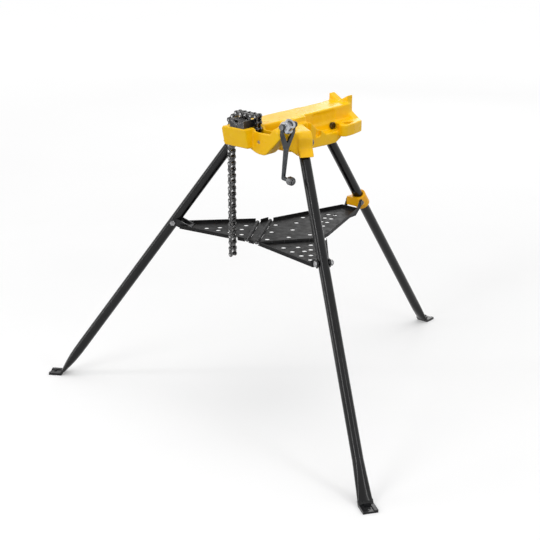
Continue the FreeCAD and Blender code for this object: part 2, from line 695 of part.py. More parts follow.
def jaw_screws():
    screws = []
    for number, (x, y) in enumerate(jaw_screw_places()):
        screw = chain_body(f"jaw_screw_{number}")
        add_rod(screw, (x, y, "seat_height - 14"), "jaw_screw / 2", "18.5")
        add_rod(screw, (x, y, "seat_height + 4.5"), "jaw_screw * 0.85", "jaw_screw * 0.6")
        screws.append(screw)
    return group("jaw_screws", screws)


# ---------------------------------------------------------------- chain

def link_plate(start, end, middle_y):
    """One plate between two pins, round at its ends and waisted between them."""
    thick = size("plate_thick")
    radius = size("plate_height") / 2
    waist = size("plate_waist")
    hole = size("chain_pin") / 2 + size("bolt_play")
    low_y = middle_y - thick / 2
    across, up = end[0] - start[0], end[1] - start[1]
    bar = Part.makeBox(math.hypot(across, up), thick, waist, Vector(0, 0, -waist / 2))
    bar.Placement = Placement(Vector(start[0], low_y, start[1]),
                              Rotation(Y_AXIS, -math.degrees(math.atan2(up, across))))
    plate = bar
    for x, z in (start, end):
        plate = plate.fuse(Part.makeCylinder(radius, thick, Vector(x, low_y, z), Y_AXIS))
    for x, z in (start, end):
        plate = plate.cut(Part.makeCylinder(hole, 3 * thick, Vector(x, low_y - thick, z), Y_AXIS))
    return plate.removeSplitter()


def chain_plates(label, pins, first_is_inner):
    plates = []
    inner = first_is_inner
    for start, end in zip(pins, pins[1:]):
        middle = size("inner_y") if inner else size("outer_y")
        plates += [link_plate(start, end, side * middle) for side in (-1, 1)]
        inner = not inner
    return written(label, Part.Compound(plates))


def chain_pins(label, pins):
    length = size("pin_length")
    return written(label, Part.Compound([
        Part.makeCylinder(size("chain_pin") / 2, length, Vector(x, -length / 2, z), Y_AXIS) for x, z in pins]))


def chain_rollers(label, pins):
    length = size("chain_inner") - 2 * size("bolt_play")
    bore = size("chain_pin") / 2 + size("bolt_play")
    rollers = []
    for x, z in pins:
        start = Vector(x, -length / 2, z)
        outside = Part.makeCylinder(size("roller_od") / 2, length, start, Y_AXIS)
        rollers.append(outside.cut(Part.makeCylinder(bore, length, start, Y_AXIS)))
    return written(label, Part.Compound(rollers))


def straight_pins(start, direction, count):
    """Pins in a straight line at the chain's pitch."""
    across = direction[0] * size("chain_pitch")
    up = direction[1] * size("chain_pitch")
    return [(start[0] + across * i, start[1] + up * i) for i in range(count + 1)]


def meeting(first, first_reach, second, second_reach, side):
    """The point at two given distances from two points; side is +1 on the left of the way between them."""
    run = Vector(second[0] - first[0], 0, second[1] - first[1])
    gap = run.Length
    along = (gap ** 2 + first_reach ** 2 - second_reach ** 2) / (2 * gap)
    out = side * math.sqrt(first_reach ** 2 - along ** 2)
    return (first[0] + (run.x * along - run.z * out) / gap, first[1] + (run.z * along + run.x * out) / gap)


def riser_links():
    """Links between the turn in the trough and the corner beside the jaws."""
    corner = (size("riser_x"), size("corner_z"))
    down = straight_pins(corner, (0, -1), 4)
    guide = (size("guide_x"), size("guide_z"))
    return [meeting(down[-1], size("chain_pitch"), guide, size("turn_radius"), -1)] + down[::-1]


def over_links():
    """Links over the jaws, sloping to the hook and hanging down through the slot."""
    corner = (size("riser_x"), size("corner_z"))
    across = straight_pins(corner, (-1, 0), 4)
    slope = math.radians(size("drape_angle"))
    drape = straight_pins(across[-1], (-math.cos(slope), -math.sin(slope)), 2)
    return across + drape[1:] + straight_pins(drape[-1], (0, -1), 8)[1:]


def tail_links():
    return straight_pins(over_links()[-1], (0, -1), 14)


def eye_place():
    """Centre of the screw eye with the screw let out, in the chain frame."""
    turn = math.radians(size("screw_angle"))
    back = size("eye_back")
    return (size("screw_x") - back * math.sin(turn), size("screw_z") - back * math.cos(turn))


def take_up_elbow():
    """The pin between the two links that lead to the screw eye; it hangs below them."""
    pitch = size("chain_pitch")
    return meeting(riser_links()[0], pitch, eye_place(), pitch, -1)


def make_chain():
    riser = riser_links()
    over = over_links()
    tail = tail_links()
    elbow = take_up_elbow()
    eye = eye_place()
    chain = [chain_plates("chain_riser_plates", riser, False), chain_pins("chain_riser_pins", riser),
             chain_rollers("chain_riser_rollers", riser[1:])]
    chain += [chain_plates("chain_over_plates", over, True), chain_pins("chain_over_pins", over[1:]),
              chain_rollers("chain_over_rollers", over[1:])]
    chain += [chain_plates("chain_tail_plates", tail, True), chain_pins("chain_tail_pins", tail[1:]),
              chain_rollers("chain_tail_rollers", tail[1:])]
    chain += [chain_plates("take_up_link_inner", [riser[0], elbow], True),
              chain_pins("take_up_pin_inner", [elbow]),
              chain_plates("take_up_link_outer", [elbow, eye], False),
              chain_pins("take_up_pin_outer", [eye])]
    return chain


def guide_pin():
    pin = chain_body("chain_guide_pin")
    add_cross_rod(pin, "guide_x", "-trough_width / 2 - trough_wall + 2.5", "guide_z",
                  "guide_pin / 2", "trough_width + 2 * trough_wall - 5")
    return pin


# ---------------------------------------------------------------- screw and crank

def draw_screw():
    """Threaded bar with a flat tang and an eye for the last chain pin."""
    screw = new_body("draw_screw")
    screw_frame(screw)
    tang = "chain_inner / 2 - 0.5"
    add_rod(screw, (0, 0, "-eye_back + 10"), "screw_od / 2", "eye_back - 10 + nut_out - 4")
    add_box(screw, ("-6", f"-({tang})", "-eye_back"), ("12", f"2 * ({tang})", "16"))
    add_cross_rod(screw, 0, f"-({tang})", "-eye_back", "6", f"2 * ({tang})")
    for side in (f"-({tang}) - screw_od / 2", tang):
        add_box(screw, ("-screw_od / 2", side, "-eye_back - 7"), ("screw_od", "screw_od / 2", "18"), cut=True)
    add_cross_rod(screw, 0, "-10", "-eye_back", "chain_pin / 2 + eye_play", "20", cut=True)
    return screw


def thrust_washer():
    washer = new_body("thrust_washer")
    screw_frame(washer, "boss_face")
    add_rod(washer, (0, 0, 0), "boss_od / 2 - 1.5", "washer_thick")
    add_rod(washer, (0, 0, -1), "screw_od / 2 + bolt_play * 2", "washer_thick + 2", cut=True)
    return washer


def crank_nut():
    """The nut that pulls the screw, with a flange against the washer and bosses for the crank pins."""
    nut = new_body("crank_nut")
    screw_frame(nut, "boss_face - washer_thick")
    add_rod(nut, (0, 0, 0), "flange_od / 2", "4")
    add_rod(nut, (0, 0, 0), "nut_od / 2", "boss_face - washer_thick + nut_out")
    pins_z = "boss_face - washer_thick"
    add_cross_rod(nut, 0, "-hub_y", pins_z, "crank_pin / 2 + 2.5", "2 * hub_y")
    add_rod(nut, (0, 0, -1), "screw_od / 2 + bolt_play", "boss_face + nut_out + 5", cut=True)
    for start in ("screw_od / 2 + 1", "-hub_y - 1"):
        add_cross_rod(nut, 0, start, pins_z, "crank_pin / 2", "hub_y - screw_od / 2", cut=True)
    return nut


def crank_pins():
    pins = []
    head = "(hub_y + fork_play / 2 + fork_thick + 0.5)"
    for number, side in enumerate((-1, 1)):
        pin = new_body(f"crank_pin_{number}")
        screw_frame(pin)
        start = "screw_od / 2 + 1.5" if side > 0 else f"-{head}"
        add_cross_rod(pin, 0, start, 0, "crank_pin / 2", f"{head} - screw_od / 2 - 1.5")
        cap = head if side > 0 else f"-{head} - 1.5"
        add_cross_rod(pin, 0, cap, 0, "crank_pin / 2 + 1.5", "1.5")
        pins.append(pin)
    return group("crank_pins", pins)


def crank_frame(obj):
    """The crank hangs from its pins, leaning a little; Z is up along its shaft."""
    place(obj, "screw_x", "centre_y + chain_y", "screw_z", (0, 1, 0), "crank_lean")


def crank_handle():
    """Forged fork, tapered shaft and a foot that carries the grip."""
    handle = new_body("crank_handle")
    crank_frame(handle)
    outer = "hub_y + fork_play / 2 + fork_thick"
    inner = "hub_y + fork_play / 2"
    fork = new_sketch(handle, "YZ_Plane", "-eye_od * 0.22")
    outline(fork, [(f"-({outer})", "0"), (f"-({inner})", "0"), (f"-({inner})", "-eye_od * 0.75"),
                   ("0", "-fork_length + shaft_top * 0.75"), (inner, "-eye_od * 0.75"), (inner, "0"),
                   (outer, "0"), (outer, "-eye_od * 1.25"), ("shaft_top / 2", "-fork_length - 6"),
                   ("shaft_top / 2 - 2", "-fork_length - 14"), ("-shaft_top / 2 + 2", "-fork_length - 14"),
                   ("-shaft_top / 2", "-fork_length - 6"), (f"-({outer})", "-eye_od * 1.25")])
    pad(handle, fork, "eye_od * 0.44")
    for start in (inner, f"-({outer})"):
        add_cross_rod(handle, 0, start, 0, "eye_od / 2", "fork_thick")
    shaft = handle.newObject("PartDesign::AdditiveCone", "Shaft")
    bind(shaft, "Radius1", "shaft_low / 2")
    bind(shaft, "Radius2", "shaft_top / 2")
    bind(shaft, "Height", "crank_length - fork_length - 2")
    place(shaft, 0, 0, "-crank_length")
    bend = handle.newObject("PartDesign::AdditiveSphere", "Bend")
    bind(bend, "Radius", "shaft_low / 2")
    place(bend, 0, 0, "-crank_length")
    add_rod(handle, (0, 0, "-crank_length"), "shaft_low / 2", "crank_foot", (0, 1, 0), "90")
    for start in (inner, f"-({outer})"):
        add_cross_rod(handle, 0, f"{start} - 1", 0, "crank_pin / 2 + bolt_play", "fork_thick + 2", cut=True)
    add_rod(handle, ("crank_foot - 9", 0, "-crank_length"), "stud_od / 2 - 1.5", "12",
            (0, 1, 0), "90", cut=True)
    return handle


def grip_stud():
    """Shouldered stud through the grip, riveted into the crank."""
    stud = new_body("grip_stud")
    crank_frame(stud)
    add_rod(stud, ("crank_foot - 9", 0, "-crank_length"), "stud_od / 2 - 1.5", "12", (0, 1, 0), "90")
    add_rod(stud, ("crank_foot", 0, "-crank_length"), "stud_od / 2", "grip_length + 0.6", (0, 1, 0), "90")
    add_rod(stud, ("crank_foot + grip_length + 0.6", 0, "-crank_length"), "stud_od / 2 + 2", "2.5",
            (0, 1, 0), "90")
    return stud


def crank_grip():
    """Round grip that turns on its stud, a little barrel shaped."""
    grip = new_body("crank_grip")
    crank_frame(grip)
    add_rod(grip, ("crank_foot + 0.3", 0, "-crank_length"), "grip_od / 2 - 1.5", "grip_length", (0, 1, 0), "90")
    add_rod(grip, ("crank_foot + 3.3", 0, "-crank_length"), "grip_od / 2", "grip_length - 6", (0, 1, 0), "90")
    add_rod(grip, ("crank_foot - 1", 0, "-crank_length"), "stud_od / 2 + bolt_play", "grip_length + 4",
            (0, 1, 0), "90", cut=True)
    return grip


# ---------------------------------------------------------------- legs

def along_leg(distance):
    """A point on the leg's axis, in its leg frame, so far below the pivot."""
    return (f"({distance}) * sin(leg_tilt)", "0", f"-({distance}) * cos(leg_tilt)")


def leg_section(body, distance, thick, width):
    """An oval across the leg, so far below the pivot."""
    drawing = new_sketch(body, "XY_Plane")
    drawing.AttachmentOffset = Placement(Vector(), Rotation(Y_AXIS, 144))
    bind(drawing, "AttachmentOffset.Rotation.Angle", "180 - leg_tilt")
    x, y, z = along_leg(distance)
    bind(drawing, "AttachmentOffset.Base.x", x)
    bind(drawing, "AttachmentOffset.Base.z", z)
    oval = drawing.addGeometry(Part.Ellipse(Vector(0, 16, 0), Vector(9, 0, 0), Vector()), False)
    drawing.exposeInternalGeometry(oval)
    long_axis, short_axis = oval + 1, oval + 2
    drawing.addConstraint(Sketcher.Constraint("Coincident", oval, 3, -1, 1))
    drawing.addConstraint(Sketcher.Constraint("Vertical", long_axis))
    for line, formula in ((long_axis, width), (short_axis, thick)):
        number = drawing.addConstraint(Sketcher.Constraint("Distance", line, 20.0))
        bind(drawing, f"Constraints[{number}]", formula)
    return drawing


def leg_neck(leg):
    """The length over which the tube is pressed from round to flat."""
    start = leg_section(leg, "tube_below - 1", "tube_od - 0.6", "tube_od - 0.4")
    middle = leg_section(leg, "tube_below + neck_length * 0.6", "tube_od * 0.8",
                         "tube_od * 0.45 + flat_width * 0.55")
    end = leg_section(leg, "tube_below + neck_length", "flat_thick * 1.5", "flat_width")
    neck = leg.newObject("PartDesign::AdditiveLoft", "Neck")
    neck.Profile = start
    neck.Sections = [middle, end]


def foot_outline(drawing):
    """Side view of the flat end of the leg and the foot bent out along the floor."""
    start = "(tube_below + neck_length - 3)"
    half = "flat_thick / 2"
    outline(drawing, [(f"{start} * sin(leg_tilt) - {half} * cos(leg_tilt)",
                       f"-{start} * cos(leg_tilt) - {half} * sin(leg_tilt)"),
                      (f"pivot_height * tan(leg_tilt) - {half} / cos(leg_tilt)", "-pivot_height"),
                      ("pivot_height * tan(leg_tilt) + foot_out", "-pivot_height"),
                      ("pivot_height * tan(leg_tilt) + foot_out", "-pivot_height + flat_thick"),
                      (f"(pivot_height - flat_thick) * tan(leg_tilt) + {half} / cos(leg_tilt)",
                       "-pivot_height + flat_thick"),
                      (f"{start} * sin(leg_tilt) + {half} * cos(leg_tilt)",
                       f"-{start} * cos(leg_tilt) + {half} * sin(leg_tilt)")])


def leg_tube(side):
    """One leg: a tube, pressed flat near the floor and bent into a foot."""
    leg = leg_body("leg_" + side, side)
    top = along_leg("-tube_top")
    add_rod(leg, top, "tube_od / 2", "tube_top + tube_below", (0, 1, 0), "180 - leg_tilt")
    leg_neck(leg)
    drawing = new_sketch(leg, "XZ_Plane")
    foot_outline(drawing)
    pad(leg, drawing, "flat_width", midplane=True)
    heel = "(pivot_height - flat_thick) * tan(leg_tilt) + flat_thick / 2 / cos(leg_tilt)"
    add_box(leg, (heel, "-flat_width * 0.25", "-pivot_height + flat_thick - flat_groove"),
            ("foot_out * 2", "flat_width * 0.5", "20"), cut=True)
    above = along_leg("-tube_top - 1")
    add_rod(leg, above, "tube_od / 2 - tube_wall", "tube_top + tube_below - 4",
            (0, 1, 0), "180 - leg_tilt", cut=True)
    add_cross_rod(leg, 0, "-tube_od", 0, "pivot_bolt / 2 + bolt_play", "2 * tube_od", cut=True)
    add_rod(leg, ("pivot_height * tan(leg_tilt) + foot_out * 0.55", 0, "-pivot_height - 1"),
            "foot_hole / 2", "20", cut=True)
    if side != "rear":
        x, y, z = along_leg("wing_bolt_drop")
        add_cross_rod(leg, x, "-tube_od", z, "wing_bolt / 2 + bolt_play", "2 * tube_od", cut=True)
    return leg


def hexagon(drawing, across_flats):
    """A hexagon around the sketch's origin."""
    radius = f"({across_flats}) / 2 / cos(30)"
    outline(drawing, [(f"{radius} * cos({60 * i})", f"{radius} * sin({60 * i})") for i in range(6)])


def hex_piece(body, y_from, thick, across_flats, x="0", z="0"):
    """A hexagonal head or nut whose axis runs along Y."""
    drawing = new_sketch(body, "XZ_Plane", f"-({y_from})")
    bind(drawing, "AttachmentOffset.Base.x", x)
    bind(drawing, "AttachmentOffset.Base.y", z)
    hexagon(drawing, across_flats)
    return pad(body, drawing, thick, reversed_way=True)


def socket_half(side):
    """Half the width that a pivot bolt goes through."""
    return "beam_width / 2" if side == "rear" else "(tube_od / 2 + cheek_gap + cheek)"


def pivot_bolts():
    bolts = []
    for side in LEG_TURNS:
        half = socket_half(side)
        bolt = leg_body("pivot_bolt_" + side, side)
        add_cross_rod(bolt, 0, f"-{half}", 0, "pivot_bolt / 2", f"2 * {half} + pivot_bolt")
        hex_piece(bolt, f"-{half} - 6.5", "6.5", "pivot_bolt * 1.6")
        bolts.append(bolt)
    return group("pivot_bolts", bolts)


def pivot_nuts():
    nuts = []
    for side in LEG_TURNS:
        half = socket_half(side)
        nut = leg_body("pivot_nut_" + side, side)
        hex_piece(nut, half, "pivot_bolt * 0.8", "pivot_bolt * 1.6")
        add_cross_rod(nut, 0, f"{half} - 1", 0, "pivot_bolt / 2 + bolt_play", "20", cut=True)
        nuts.append(nut)
    return group("pivot_nuts", nuts)


EAR_OUT = "(tube_od / 2 + fork_play + fork_sheet)"


def wing_bolt(side):
    """Bolt through a front leg and the two ears of a tray bracket."""
    bolt = leg_body("wing_bolt_" + side, side)
    x, y, z = along_leg("wing_bolt_drop")
    head = EAR_OUT if side == "left" else f"-{EAR_OUT} - 5"
    start = f"-{EAR_OUT} - 8" if side == "left" else f"-{EAR_OUT}"
    add_cross_rod(bolt, x, start, z, "wing_bolt / 2", f"2 * {EAR_OUT} + 8")
    hex_piece(bolt, head, "5", "wing_bolt * 1.6", x, z)
    return bolt


def wing_nut(side):
    nut = leg_body("wing_bolt_nut_" + side, side)
    x, y, z = along_leg("wing_bolt_drop")
    start = EAR_OUT if side == "right" else f"-{EAR_OUT} - 6"
    hex_piece(nut, start, "6", "wing_bolt * 1.6", x, z)
    add_cross_rod(nut, x, f"{start} - 1", z, "wing_bolt / 2 + bolt_play", "12", cut=True)
    return nut


def rear_collar():
    """Clamp ring on the rear leg with a lug that carries the tray."""
    collar = stand_body("rear_collar")
    lean = "180 - leg_tilt"
    back = "collar_length / 2"
    add_rod(collar, ("0", f"collar_reach - {back} * sin(leg_tilt)", f"tray_pivot_z + {back} * cos(leg_tilt)"),
            "collar_od / 2", "collar_length", (1, 0, 0), f"-({lean})")
    add_box(collar, ("-collar_half", "tray_pivot_y - 11", "tray_pivot_z - 11"),
            ("2 * collar_half", "collar_reach - tray_pivot_y + 6", "24"))
    add_rod(collar, ("0", "collar_reach - 40 * sin(leg_tilt)", "tray_pivot_z + 40 * cos(leg_tilt)"),
            "tube_od / 2 + collar_play", "80", (1, 0, 0), f"-({lean})", cut=True)
    place_pin = ("-60", "tray_pivot_y", "tray_pivot_z")
    add_rod(collar, place_pin, "tray_pivot_pin / 2", "120", (0, 1, 0), "90", cut=True)
    return collar


def tray_pivot_pins():
    """The two pins on which the tray's rear fork turns."""
    pins = []
    outer = "prong_x + fork_sheet + 0.5"
    for number, side in enumerate((-1, 1)):
        pin = stand_body(f"tray_pivot_pin_{number}")
        start = "collar_half - 6" if side > 0 else f"-({outer})"
        add_rod(pin, (start, "tray_pivot_y", "tray_pivot_z"), "tray_pivot_pin / 2",
                f"{outer} - collar_half + 6", (0, 1, 0), "90")
        cap = outer if side > 0 else f"-({outer}) - 2.5"
        add_rod(pin, (cap, "tray_pivot_y", "tray_pivot_z"), "tray_pivot_pin / 2 + 2", "2.5", (0, 1, 0), "90")
        pins.append(pin)
    return group("tray_pivot_pins", pins)


# ---------------------------------------------------------------- tray

HINGES = {
    "right": ("hinge_front_x", "hinge_front_y", "hinge_angle", "hinge_length"),
    "fold": ("fold_front_x", "hinge_front_y", "fold_angle", "fold_length"),
    "strip": ("hinge_front_x", "hinge_front_y", "strip_angle", "strip_length"),
}
KNUCKLES = 5
HINGE_MARGIN = 9


def hinge_rod(body, hinge, start, length, radius, cut=False):
    """A round piece on a hinge axis, so far from its front end."""
    x, y, angle, whole = HINGES[hinge]
    rod = add_rod(body, (f"{x} + ({start}) * cos({angle})", f"{y} + ({start}) * sin({angle})",
                         "tray_height + barrel_lift"), radius, length, (0, 1, 0), "90", cut)
    rod.Placement = Placement(Vector(), Rotation(Vector(1, 1, 0), 90))
    bind(rod, "Placement.Rotation.Axis.x", f"-sin({angle})")
    bind(rod, "Placement.Rotation.Axis.y", f"cos({angle})")
    return rod


def knuckles(body, hinge, numbers, side):
    """This panel's knuckles on a hinge; side is +1 for the panel on the left of the hinge's direction."""
    x, y, angle, whole = HINGES[hinge]
    step = f"(({whole} - 2 * {HINGE_MARGIN}) / {KNUCKLES})"
    for number in numbers:
        start = f"{HINGE_MARGIN} + {number} * {step} + hinge_gap / 2"
        hinge_rod(body, hinge, start, f"{step} - hinge_gap", "barrel_od / 2")
        leaf = add_box(body, (0, 0, 0), (f"{step} - hinge_gap", "sheet_gap + 9", "tray_sheet"))
        across = "0" if side > 0 else "-(sheet_gap + 9)"
        place(leaf, f"{x} + ({start}) * cos({angle}) - ({across}) * sin({angle})",
              f"{y} + ({start}) * sin({angle}) + ({across}) * cos({angle})", "tray_height - tray_sheet",
              (0, 0, 1), angle)


def clear_hinge(body, hinge, side):
    """Ends this panel's rims short of a hinge, so that it can fold."""
    x, y, angle, whole = HINGES[hinge]
    back = "rim_back" if hinge == "right" else "rim_near"
    across = "-2" if side > 0 else f"-{back}"
    room = add_box(body, (0, 0, 0), (f"{whole} + 60", f"{back} + 2", "tray_rim + 10"), cut=True)
    place(room, f"{x} - 30 * cos({angle}) - ({across}) * sin({angle})",
          f"{y} - 30 * sin({angle}) + ({across}) * cos({angle})", "tray_height", (0, 0, 1), angle)


def pin_bore(body, hinge):
    x, y, angle, whole = HINGES[hinge]
    hinge_rod(body, hinge, 0, whole, "hinge_pin / 2 + bolt_play", cut=True)


def hinge_pin(label, hinge):
    pin = stand_body(label)
    whole = HINGES[hinge][3]
    hinge_rod(pin, hinge, f"{HINGE_MARGIN} - 2", f"{whole} - 2 * {HINGE_MARGIN} + 4", "hinge_pin / 2")
    return pin


def open_faces(feature, open_edges):
    """The top of a padded panel and its sides along the given edges of its outline."""
    names = []
    for number, face in enumerate(feature.Shape.Faces, start=1):
        normal = face.normalAt(0, 0)
        if normal.z > 0.9:
            names.append(f"Face{number}")
        elif abs(normal.z) < 0.1:
            middle = face.CenterOfMass
            for start, end in open_edges:
                run = (end - start).normalize()
                offset = Vector(middle.x, middle.y, 0) - start
                if abs(offset.cross(run).z) < 0.5:
                    names.append(f"Face{number}")
    return names


def hole_row(body, start, step, count):
    """A row of holes through the tray."""
    for i in range(count):
        x = start[0] + step[0] * i
        y = start[1] + step[1] * i
        add_rod(body, (x, y, "tray_height - 10"), "tray_hole / 2", "20", cut=True)


def panel(label, corners, open_edges):
    """A sheet panel with a raised rim; open_edges are the outline's edges without a rim."""
    body = stand_body(label)
    drawing = new_sketch(body, "XY_Plane", "tray_height - tray_sheet")
    outline(drawing, corners)
    block = pad(body, drawing, "tray_sheet + tray_rim")
    doc.recompute()
    count = len(corners)
    ordered = [drawing.getPoint(i, 1) for i in range(count)]
    edges = []
    for i in open_edges:
        start = Vector(ordered[i].x, ordered[i].y, 0)
        end = Vector(ordered[(i + 1) % count].x, ordered[(i + 1) % count].y, 0)
        edges.append((start, end))
    pan = body.newObject("PartDesign::Thickness", "Pan")
    pan.Base = (block, open_faces(block, edges))
    bind(pan, "Value", "tray_sheet")
    pan.Reversed = True
    pan.Join = 1
    doc.recompute()
    return body


def shifted(x, angle, side):
    """An x on a hinge line, moved sideways by the room that the knuckles need."""
    return f"{x} {side} sheet_gap / sin({angle})"


def stud_hole(wing, side):
    """The hole near a wing's end through which the stud of its bracket goes."""
    out = "(tip_reach - stud_back)"
    add_rod(wing, (f"{side} * {out} * sin(front_angle)", f"-{out} * cos(front_angle)", "tray_height - 10"),
            "wing_stud / 2 + stud_play", "20", cut=True)


def tray_main():
    corners = [(shifted("hinge_front_x + 18 / tan(hinge_angle)", "hinge_angle", "-"), "hinge_front_y + 18"),
               (shifted("hinge_rear_x", "hinge_angle", "-"), "hinge_rear_y"),
               ("main_side_x", "main_side_y"), ("neck_half", "neck_y"), ("-neck_half", "neck_y"),
               (shifted("strip_rear_x", "strip_angle", "+"), "strip_rear_y"),
               (shifted("hinge_front_x + 18 / tan(strip_angle)", "strip_angle", "+"), "hinge_front_y + 18")]
    main = panel("tray_main", corners, [0, 5])
    clear_hinge(main, "right", 1)
    clear_hinge(main, "strip", -1)
    knuckles(main, "right", (0, 2, 4), 1)
    knuckles(main, "strip", (0, 2, 4), -1)
    pin_bore(main, "right")
    pin_bore(main, "strip")
    hole_row(main, (7, -88), (-32, 52.5), 3)
    hole_row(main, (36, -38), (-32, 53), 3)
    hole_row(main, (64, 14), (-32, 53), 2)
    hole_row(main, (42, 94), (-12, 31.5), 4)
    hole_row(main, (14, 120), (-13, 31.5), 3)
    hole_row(main, (-46, 116), (13, 31.5), 2)
    return main


def tray_wing_right():
    corners = [(shifted("hinge_front_x", "hinge_angle", "+"), "hinge_front_y"),
               ("tip_x - tip_dx", "tip_y - tip_dy"), ("tip_x + tip_dx", "tip_y + tip_dy"),
               (shifted("hinge_rear_x", "hinge_angle", "+"), "hinge_rear_y")]
    wing = panel("tray_wing_right", corners, [1, 3])
    clear_hinge(wing, "right", -1)
    knuckles(wing, "right", (1, 3), -1)
    pin_bore(wing, "right")
    stud_hole(wing, 1)
    hole_row(wing, (82, -111), (36, -8.3), 4)
    hole_row(wing, (106, -83), (31.5, -13), 3)
    hole_row(wing, (119, -49), (23, -28), 2)
    return wing


def tray_wing_left():
    corners = [(shifted("fold_rear_x", "fold_angle", "-"), "hinge_rear_y"),
               ("-tip_x - tip_dx", "tip_y + tip_dy"), ("-tip_x + tip_dx", "tip_y - tip_dy"),
               (shifted("fold_front_x", "fold_angle", "-"), "hinge_front_y")]
    wing = panel("tray_wing_left", corners, [1, 3])
    clear_hinge(wing, "fold", 1)
    knuckles(wing, "fold", (1, 3), 1)
    pin_bore(wing, "fold")
    stud_hole(wing, -1)
    add_box(wing, ("tail_x - notch_width / 2", "notch_back - 40", "tray_height - 10"),
            ("notch_width", "40", "30"), cut=True)
    hole_row(wing, (-173, -124), (34.7, 7.3), 4)
    hole_row(wing, (-151, -97), (26.5, 13.5), 3)
    hole_row(wing, (-138, -64), (26, 26), 2)
    return wing


def tray_strip():
    corners = [(shifted("fold_rear_x", "fold_angle", "+"), "hinge_rear_y"),
               (shifted("fold_front_x", "fold_angle", "+"), "hinge_front_y"),
               (shifted("hinge_front_x", "strip_angle", "-"), "hinge_front_y"),
               (shifted("strip_rear_x", "strip_angle", "-"), "strip_rear_y")]
    strip = panel("tray_hinge_strip", corners, [0, 2])
    clear_hinge(strip, "fold", -1)
    clear_hinge(strip, "strip", 1)
    knuckles(strip, "fold", (0, 2, 4), -1)
    knuckles(strip, "strip", (1, 3), 1)
    pin_bore(strip, "fold")
    pin_bore(strip, "strip")
    return strip


def wing_fork(side):
    """Bracket on a front leg: two ears on the bolt and a plate with a stud over the wing's end."""
    fork = leg_body("wing_fork_" + side, side)
    reach = "(tip_reach - pivot_reach)"
    bolt_x, unused, bolt_z = along_leg("wing_bolt_drop")
    low = "(tray_height - pivot_height + seat_gap)"
    inner = "(tube_od / 2 + fork_play)"
    width = "(tip_half - tray_sheet - 1)"
    add_box(fork, (f"{reach} - 32", f"-{width}", low),
            (f"{bolt_x} - {reach} + 13", f"2 * {width}", "fork_sheet"))
    for start in (inner, f"-{inner} - fork_sheet"):
        ear = new_sketch(fork, "XZ_Plane", f"-({start})")
        outline(ear, [(f"{reach} - 30", low), (f"{reach} - 30", f"{low} + fork_sheet"),
                      (f"{bolt_x} - 14", f"{bolt_z} + 9"), (f"{bolt_x} + 3", f"{bolt_z} + 9"),
                      (f"{bolt_x} + 9", f"{bolt_z} + 3"), (f"{bolt_x} + 9", f"{bolt_z} - 4"),
                      (f"{bolt_x} + 2", f"{bolt_z} - 11"), (f"{bolt_x} - 8", f"{bolt_z} - 9"),
                      (f"{reach} + 1", low)])
        pad(fork, ear, "fork_sheet", reversed_way=True)
    add_cross_rod(fork, bolt_x, f"-{inner} - 10", bolt_z, "wing_bolt / 2 + bolt_play",
                  f"2 * {inner} + 20", cut=True)
    stud = f"{reach} - stud_back"
    add_rod(fork, (stud, "0", f"{low} - seat_gap - tray_sheet"), "wing_stud / 2",
            "tray_sheet + seat_gap + fork_sheet")
    add_rod(fork, (stud, "0", f"{low} + fork_sheet"), "wing_stud / 2 + 2", "2")
    return fork


def tray_rear_fork():
    """Bracket under the tray's rear end, with two prongs up to the pivot pins."""
    fork = stand_body("tray_rear_fork")
    bottom = "tray_height - tray_sheet - fork_sheet"
    add_box(fork, ("-prong_x - fork_sheet", "neck_y - 42", bottom),
            ("2 * (prong_x + fork_sheet)", "38", "fork_sheet"))
    for start in ("-prong_x - fork_sheet", "prong_x"):
        drawing = new_sketch(fork, "YZ_Plane", start)
        outline(drawing, [("neck_y - 42", "tray_height - 14"), ("neck_y - 42", bottom + " + fork_sheet"),
                          ("neck_y + 0.5", bottom + " + fork_sheet"), ("neck_y + 2", "tray_height"),
                          ("tray_pivot_y - 6", "tray_pivot_z + 7.5"), ("tray_pivot_y", "tray_pivot_z + 9"),
                          ("tray_pivot_y + 9", "tray_pivot_z"), ("tray_pivot_y", "tray_pivot_z - 9"),
                          ("neck_y - 4", "tray_height - 14")])
        pad(fork, drawing, "fork_sheet")
    add_rod(fork, ("-60", "tray_pivot_y", "tray_pivot_z"), "tray_pivot_pin / 2 + bolt_play", "120",
            (0, 1, 0), "90", cut=True)
    return fork


# ---------------------------------------------------------------- the sub-parts

def make_parts():
    parts = [base_casting(), jaw_insert("jaw_insert_right", 1), jaw_insert("jaw_insert_left", -1),
             jaw_screws(), guide_pin(), thrust_washer(), pivot_bolts(), pivot_nuts()]
    parts += make_chain()
    parts += [draw_screw(), crank_nut(), crank_pins(), crank_handle(), grip_stud(), crank_grip()]
    parts += [leg_tube(side) for side in LEG_TURNS]
    for side in ("left", "right"):
        parts += [wing_bolt(side), wing_nut(side), wing_fork(side)]
    parts += [rear_collar(), tray_pivot_pins(), tray_main(), tray_wing_left(), tray_wing_right(), tray_strip()]
    parts += [hinge_pin("hinge_pin_right", "right"), hinge_pin("hinge_pin_fold", "fold"),
              hinge_pin("hinge_pin_strip", "strip"), tray_rear_fork()]
    return parts


def check(parts):
    """Stops at the first object that failed, before anything is written."""
    for obj in doc.Objects:
        if "Invalid" in obj.State or "Error" in obj.State:
            raise RuntimeError(f"{obj.Name} ({obj.Label}) failed: {obj.State}")
    for part in parts:
        if part.Shape.isNull() or not part.Shape.isValid():
            raise RuntimeError(f"{part.Label} has no valid shape")


def export(parts):
    os.makedirs("parts", exist_ok=True)
    for part in parts:
        part.Shape.exportStep(f"parts/{part.Label}.step")
        print(f"{part.Label:24s} solids {len(part.Shape.Solids):3d} volume {part.Shape.Volume:12.1f}")


all_parts = make_parts()
doc.recompute()
check(all_parts)
export(all_parts)
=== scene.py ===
import json
import math

